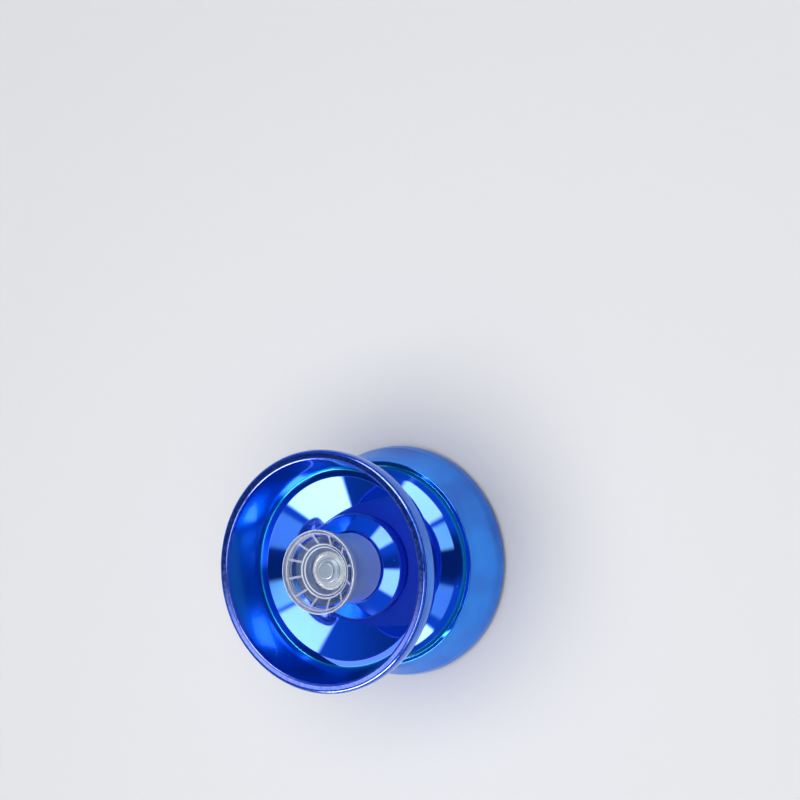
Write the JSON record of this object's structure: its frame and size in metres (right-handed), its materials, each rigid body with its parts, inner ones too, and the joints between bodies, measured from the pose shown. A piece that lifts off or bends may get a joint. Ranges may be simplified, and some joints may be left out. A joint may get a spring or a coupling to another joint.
{
  "type": "yo-yo",
  "caption": "Wide butterfly yo-yo: blue mirror-finish metal cups on an axle, a ball bearing for the string, and a free-spinning clear knob on each side.",
  "frame": {"origin": "on the spin axis, at the plane of the lower knob's flat ring, on which the toy rests", "axes": "+Z along the spin axis, towards the upper knob; X and Y are equivalent"},
  "size_m": [0.056, 0.056, 0.0403],
  "materials": {
    "cup_metal": "mirror-polished, deep blue anodised",
    "clear_plastic": "clear polycarbonate, polished face and finely frosted stem",
    "pad_silicone": "matt silicone",
    "spacer_brass": "turned",
    "plated_steel": "bright zinc plate",
    "bearing_steel": "ground and polished",
    "shield_steel": "pressed sheet",
    "cage_brass": "stamped"
  },
  "bodies": {
    "root": {"axle": "plated_steel", "string_bearing_inner_race": "bearing_steel", "upper_cup": "cup_metal", "upper_response_pad": "pad_silicone", "upper_bearing_spacer": "spacer_brass", "upper_axle_washer": "plated_steel", "upper_axle_nut": "plated_steel", "upper_hub_spacer": "plated_steel", "upper_hub_nut": "plated_steel", "upper_hub_inner_race": "bearing_steel", "lower_cup": "cup_metal", "lower_response_pad": "pad_silicone", "lower_bearing_spacer": "spacer_brass", "lower_axle_washer": "plated_steel", "lower_axle_nut": "plated_steel", "lower_hub_spacer": "plated_steel", "lower_hub_nut": "plated_steel", "lower_hub_inner_race": "bearing_steel"},
    "string_race": {"string_bearing_outer_race": "bearing_steel", "string_bearing_shields": "shield_steel"},
    "string_ball_set": {"string_bearing_balls": "bearing_steel", "string_bearing_cage": "cage_brass"},
    "upper_knob_assembly": {"upper_knob": "clear_plastic", "upper_hub_outer_race": "bearing_steel", "upper_hub_shields": "shield_steel"},
    "upper_ball_set": {"upper_hub_balls": "bearing_steel", "upper_hub_cage": "cage_brass"},
    "lower_knob_assembly": {"lower_knob": "clear_plastic", "lower_hub_outer_race": "bearing_steel", "lower_hub_shields": "shield_steel"},
    "lower_ball_set": {"lower_hub_balls": "bearing_steel", "lower_hub_cage": "cage_brass"}
  },
  "joints": [
    {"name": "string_race_spin", "type": "hinge", "parent": "root", "child": "string_race", "pos_m": [0, 0, 0.02015], "axis": [0, 0, 1], "continuous": true},
    {"name": "string_ball_orbit", "type": "hinge", "parent": "root", "child": "string_ball_set", "pos_m": [0, 0, 0.02015], "axis": [0, 0, 1], "continuous": true},
    {"name": "upper_knob_spin", "type": "hinge", "parent": "root", "child": "upper_knob_assembly", "pos_m": [0, 0, 0.03335], "axis": [0, 0, 1], "continuous": true},
    {"name": "upper_ball_orbit", "type": "hinge", "parent": "root", "child": "upper_ball_set", "pos_m": [0, 0, 0.03335], "axis": [0, 0, 1], "continuous": true},
    {"name": "lower_knob_spin", "type": "hinge", "parent": "root", "child": "lower_knob_assembly", "pos_m": [0, 0, 0.00695], "axis": [0, 0, 1], "continuous": true},
    {"name": "lower_ball_orbit", "type": "hinge", "parent": "root", "child": "lower_ball_set", "pos_m": [0, 0, 0.00695], "axis": [0, 0, 1], "continuous": true}
  ],
  "couplings": [
    {"joint": "string_ball_orbit", "follows": "string_race_spin", "ratio": 0.6026},
    {"joint": "upper_ball_orbit", "follows": "upper_knob_spin", "ratio": 0.6215},
    {"joint": "lower_ball_orbit", "follows": "lower_knob_spin", "ratio": 0.6215}
  ]
}
